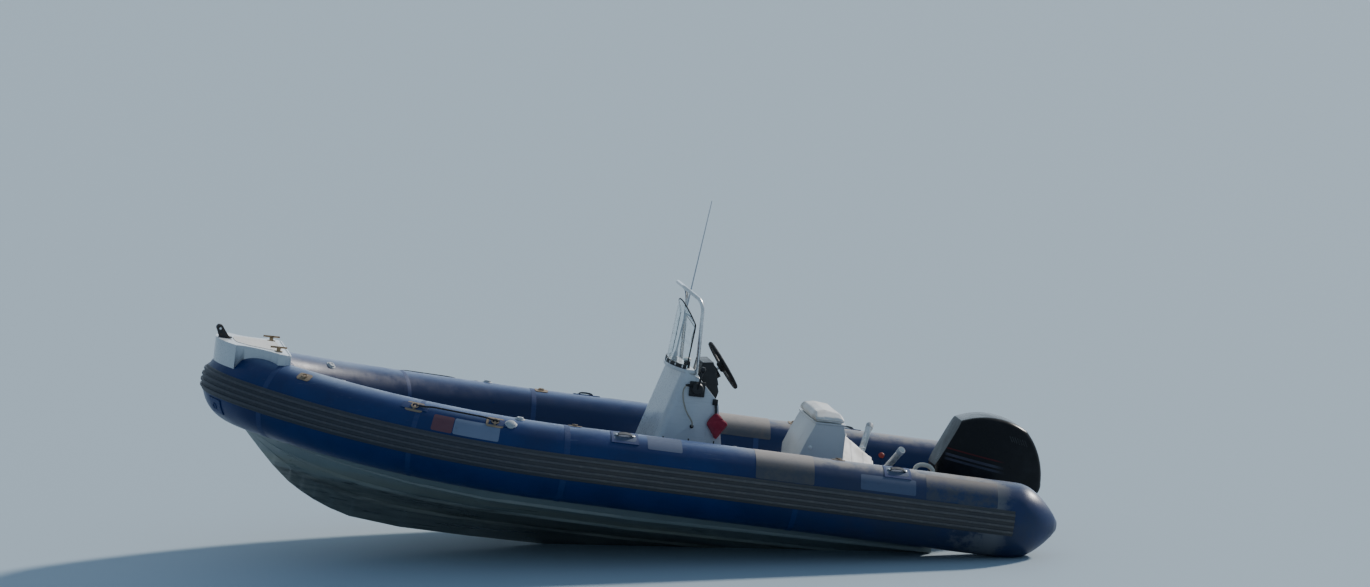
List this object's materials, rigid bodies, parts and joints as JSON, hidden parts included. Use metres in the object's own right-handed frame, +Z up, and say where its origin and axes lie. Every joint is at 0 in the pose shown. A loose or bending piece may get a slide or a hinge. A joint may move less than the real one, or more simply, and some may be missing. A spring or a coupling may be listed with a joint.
{
  "type": "rigid inflatable boat with centre console and outboard engine",
  "caption": "Rigid inflatable boat: vee hull in an inflated collar with ribbed strake, centre console, lidded seat, bow moulding and an outboard engine that tilts, steers and turns its screw.",
  "frame": {"origin": "on the centreline at the static waterline, 1.70 m ahead of the transom", "axes": "+X forward to the bow, +Y to port, +Z up, the boat afloat and level"},
  "size_m": [5.6908, 2.4366, 2.8196],
  "materials": {
    "hull_grp": "gloss",
    "sole": "matte non-slip",
    "grp": "satin gelcoat",
    "tube": "coated fabric",
    "strake": "matte ribbed",
    "black_rubber": "matte",
    "stainless": "polished",
    "acrylic": "clear",
    "black_plastic": "satin",
    "white_plastic": "gloss",
    "seat_grp": "satin gelcoat",
    "cushion": "vinyl",
    "engine_metal": "gloss paint",
    "cowl": "gloss",
    "propeller": "gloss paint",
    "hose": "matte",
    "rope": "braided",
    "patch": "matte",
    "bag": "woven nylon",
    "bronze": "weathered bronze"
  },
  "bodies": {
    "boat": {"hull": "hull_grp", "cockpit_sole": "sole", "transom": "grp", "tube_aft_port": "tube", "tube_mid_port": "tube", "tube_fore_port": "tube", "tube_nose": "tube", "tube_aft_starboard": "tube", "tube_mid_starboard": "tube", "tube_fore_starboard": "tube", "strake_port": "strake", "strake_starboard": "strake", "strake_nose": "strake", "bow_moulding": "grp", "bow_locker": "grp", "roller_bracket": "stainless", "console": "grp", "windscreen": "acrylic", "windscreen_strip": "black_plastic", "console_rail": "stainless", "helm_unit": "black_plastic", "antenna": "white_plastic", "seat_box": "seat_grp", "aft_locker": "grp", "aft_pad": "cushion", "rod_holder_port": "stainless", "rod_holder_starboard": "stainless", "transom_bracket": "engine_metal", "rigging_tube": "hose", "control_cable": "hose", "instrument_pod": "black_plastic", "throttle_control": "black_plastic", "line_bag": "bag", "bow_cleats": "bronze", "nose_patch": "patch", "lifeline_port": "rope", "lifeline_starboard": "rope", "tube_handles": "patch", "towing_eyes": "stainless"},
    "roller": {"bow_roller": "black_rubber"},
    "locker_lid": {"bow_locker_lid": "grp"},
    "console_hatch": {"console_door": "grp"},
    "seat_top": {"seat_lid": "seat_grp", "seat_cushion": "cushion"},
    "wheel": {"steering_wheel": "black_plastic"},
    "swivel": {"engine_swivel": "engine_metal"},
    "engine": {"engine_leg": "engine_metal", "engine_pan": "engine_metal", "engine_cowl": "cowl"},
    "screw": {"propeller": "propeller"}
  },
  "joints": [
    {"name": "roller_spin", "type": "hinge", "parent": "boat", "child": "roller", "pos_m": [3.06805, 0, 0.86095], "axis": [0, 1, 0], "continuous": true},
    {"name": "locker_lid_hinge", "type": "hinge", "parent": "boat", "child": "locker_lid", "pos_m": [2.44596, 0, 0.48128], "axis": [0, 1, 0], "range_deg": [0, 85]},
    {"name": "console_hatch_hinge", "type": "hinge", "parent": "boat", "child": "console_hatch", "pos_m": [-0.302, -0.236, 0.3], "axis": [0, 0, 1], "range_deg": [0, 90]},
    {"name": "seat_hinge", "type": "hinge", "parent": "boat", "child": "seat_top", "pos_m": [-1.122, 0, 0.6613], "axis": [0, -1, 0], "range_deg": [0, 88]},
    {"name": "engine_tilt", "type": "hinge", "parent": "boat", "child": "swivel", "pos_m": [-1.745, 0, 0.262], "axis": [0, 1, 0], "range_deg": [0, 68]},
    {"name": "engine_steer", "type": "hinge", "parent": "swivel", "child": "engine", "pos_m": [-1.862, 0, 0], "axis": [0, 0, 1], "range_deg": [-30, 30]},
    {"name": "screw_spin", "type": "hinge", "parent": "engine", "child": "screw", "pos_m": [-2.075, 0, -0.552], "axis": [1, 0, 0], "continuous": true},
    {"name": "wheel_turn", "type": "hinge", "parent": "boat", "child": "wheel", "pos_m": [-0.325, -0.15, 0.93], "axis": [-0.809, 0, 0.5878], "range_deg": [-540, 540]}
  ],
  "couplings": [
    {"joint": "wheel_turn", "follows": "engine_steer", "ratio": -18}
  ]
}
